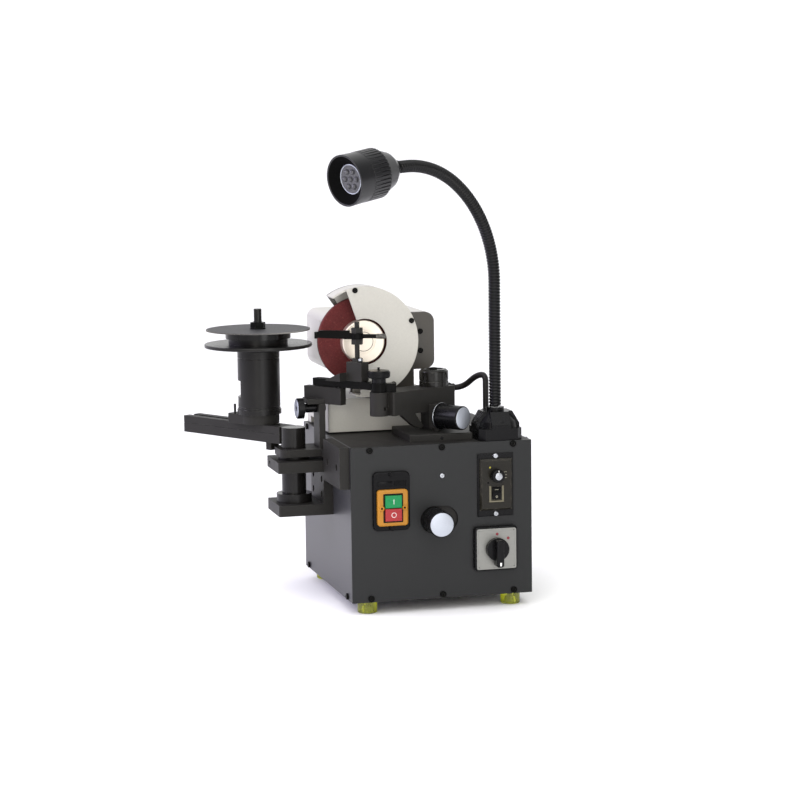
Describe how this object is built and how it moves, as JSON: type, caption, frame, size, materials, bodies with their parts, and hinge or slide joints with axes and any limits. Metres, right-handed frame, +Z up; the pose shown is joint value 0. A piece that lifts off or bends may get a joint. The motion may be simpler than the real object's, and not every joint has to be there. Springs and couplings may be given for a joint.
{
  "type": "saw blade sharpener",
  "caption": "Bench machine that sharpens circular saw blades: cabinet with switches, grinding wheel head, tooth feed arm and pawl, swivelling blade rail and a gooseneck lamp.",
  "frame": {"origin": "on the bench plane under the feet, at the middle of the four feet, which is under the cabinet's centre", "axes": "+Z up, +X to the right as seen from the front, -Y out of the front panel"},
  "size_m": [0.5039, 0.5345, 0.7446],
  "materials": {
    "cabinet_black": "fine textured powder coat",
    "panel_grey": "satin powder coat",
    "cream_paint": "satin enamel",
    "black_oxide": "blackened steel, satin",
    "ground_steel": "ground",
    "bright_zinc": "bright plated",
    "dark_steel": "blued",
    "black_plastic": "fine grain",
    "gloss_black": "gloss",
    "orange_plastic": "gloss",
    "green_plastic": "gloss",
    "red_plastic": "gloss",
    "grey_plate": "satin",
    "foot_rubber": "translucent polyurethane",
    "wheel_grit": "abrasive grain",
    "turned_aluminium": "fine turned",
    "dark_plate": "dark lacquered",
    "blade_steel": "blackened, turned",
    "lead_black": "matt sheath",
    "lens_clear": "clear",
    "motor_grey": "satin"
  },
  "bodies": {
    "cabinet": {"base_plate": "cabinet_black", "cabinet_shell": "cabinet_black", "top_plate": "black_oxide", "front_panel": "panel_grey", "case_screws": "dark_steel", "feet": "foot_rubber", "pan_screws": "bright_zinc", "switch_box": "gloss_black", "switch_bezel": "orange_plastic", "speed_box": "black_plastic", "speed_face": "dark_plate", "selector_frame": "black_plastic", "selector_plate": "grey_plate", "power_inlet": "black_plastic", "feed_motor": "motor_grey", "feed_base": "black_oxide", "stroke_block": "black_oxide", "feed_sensor": "dark_steel", "sensor_lead": "lead_black", "swivel_bracket": "black_oxide", "support_plate": "black_oxide", "guide_block": "black_oxide", "lamp_base": "black_plastic", "gooseneck": "black_plastic", "lamp_knuckle": "black_plastic"},
    "start": {"start_button": "green_plastic"},
    "stop": {"stop_button": "red_plastic"},
    "speed_dial": {"speed_knob": "black_plastic"},
    "rocker": {"speed_rocker": "gloss_black"},
    "selector": {"selector_handle": "black_plastic"},
    "hand_stem": {"hand_slider": "black_oxide"},
    "hand_grip": {"hand_knob": "black_plastic"},
    "cam": {"cam_shaft": "ground_steel"},
    "head": {"plinth": "cream_paint", "head_bracket": "black_oxide", "head_housing": "cream_paint", "head_screws": "dark_steel", "motor_body": "motor_grey", "guard_rim": "cream_paint", "guard_front": "cream_paint"},
    "wheel": {"spindle": "ground_steel", "grinding_wheel": "wheel_grit", "hub_flange": "turned_aluminium"},
    "arm": {"arm_shaft": "dark_steel", "feed_arm": "black_oxide"},
    "clamp": {"clamp_knob": "black_plastic"},
    "bar": {"feed_bar": "dark_steel"},
    "saddle": {"feed_saddle": "black_oxide"},
    "finger": {"pawl": "dark_steel"},
    "stroke": {"stroke_knob": "black_plastic"},
    "guide": {"guide_knob": "black_plastic"},
    "swivel": {"swivel_shaft": "dark_steel", "rail": "black_oxide"},
    "carriage": {"blade_carriage": "black_oxide", "blade_column": "dark_steel"},
    "blade": {"blade_flange": "dark_steel", "saw_blade": "blade_steel", "arbor_nut": "dark_steel"},
    "lamp": {"lamp_shell": "black_plastic", "lamp_lens": "lens_clear"}
  },
  "joints": [
    {"name": "wheel_spin", "type": "hinge", "parent": "head", "child": "wheel", "pos_m": [-0.09, 0, 0.4235], "axis": [0, 1, 0], "continuous": true},
    {"name": "head_slide", "type": "slide", "parent": "cabinet", "child": "head", "axis": [1, 0, 0], "range_m": [0, 0.02]},
    {"name": "rail_swivel", "type": "hinge", "parent": "cabinet", "child": "swivel", "pos_m": [-0.205, 0, 0.2], "axis": [0, 0, 1], "range_deg": [-3, 20]},
    {"name": "carriage_slide", "type": "slide", "parent": "swivel", "child": "carriage", "axis": [-0.521, 0.8536, 0], "range_m": [-0.01, 0.09]},
    {"name": "blade_spin", "type": "hinge", "parent": "carriage", "child": "blade", "pos_m": [-0.24668, 0.06828, 0.42], "axis": [0, 0, 1], "continuous": true},
    {"name": "arm_swing", "type": "hinge", "parent": "cabinet", "child": "arm", "pos_m": [0.02, -0.055, 0.33], "axis": [0, 0, 1], "range_deg": [-1.5, 4]},
    {"name": "bar_swivel", "type": "hinge", "parent": "arm", "child": "bar", "pos_m": [-0.08683, -0.10966, 0.358], "axis": [0, 0, 1], "range_deg": [-2, 2]},
    {"name": "clamp_turn", "type": "hinge", "parent": "arm", "child": "clamp", "pos_m": [-0.08683, -0.10966, 0.37], "axis": [0, 0, 1], "range_deg": [-90, 90]},
    {"name": "saddle_slide", "type": "slide", "parent": "bar", "child": "saddle", "axis": [-0.5736, 0.8192, 0], "range_m": [-0.005, 0.012]},
    {"name": "pawl_swing", "type": "hinge", "parent": "saddle", "child": "finger", "pos_m": [-0.11264, -0.0728, 0.438], "axis": [0, 0, 1], "range_deg": [-4, 15]},
    {"name": "stroke_turn", "type": "hinge", "parent": "cabinet", "child": "stroke", "pos_m": [0.0146, -0.11, 0.307], "axis": [0.5664, -0.8241, 0], "continuous": true},
    {"name": "guide_turn", "type": "hinge", "parent": "cabinet", "child": "guide", "pos_m": [-0.19, -0.012, 0.3165], "axis": [-1, 0, 0], "continuous": true},
    {"name": "start_press", "type": "slide", "parent": "cabinet", "child": "start", "axis": [0, 1, 0], "range_m": [0, 0.003], "stiffness_N_per_m": 400},
    {"name": "stop_press", "type": "slide", "parent": "cabinet", "child": "stop", "axis": [0, 1, 0], "range_m": [0, 0.003], "stiffness_N_per_m": 400},
    {"name": "speed_turn", "type": "hinge", "parent": "cabinet", "child": "speed_dial", "pos_m": [0.0885, -0.18, 0.216], "axis": [0, 1, 0], "range_deg": [-135, 135]},
    {"name": "rocker_tilt", "type": "hinge", "parent": "cabinet", "child": "rocker", "pos_m": [0.0885, -0.1755, 0.187], "axis": [1, 0, 0], "range_deg": [-8, 8]},
    {"name": "selector_turn", "type": "hinge", "parent": "cabinet", "child": "selector", "pos_m": [0.087, -0.19, 0.097], "axis": [0, 1, 0], "range_deg": [0, 90]},
    {"name": "hand_shift", "type": "slide", "parent": "cabinet", "child": "hand_stem", "axis": [1, 0, 0], "range_m": [0, 0.018]},
    {"name": "hand_turn", "type": "hinge", "parent": "hand_stem", "child": "hand_grip", "pos_m": [-0.014, -0.19, 0.148], "axis": [0, 1, 0], "continuous": true},
    {"name": "lamp_tilt", "type": "hinge", "parent": "cabinet", "child": "lamp", "pos_m": [-0.09635, -0.23335, 0.7123], "axis": [0.4617, -0.887, 0], "range_deg": [-20, 15]},
    {"name": "cam_turn", "type": "hinge", "parent": "cabinet", "child": "cam", "pos_m": [-0.06, 0.07, 0.2], "axis": [0, 0, 1], "continuous": true}
  ]
}
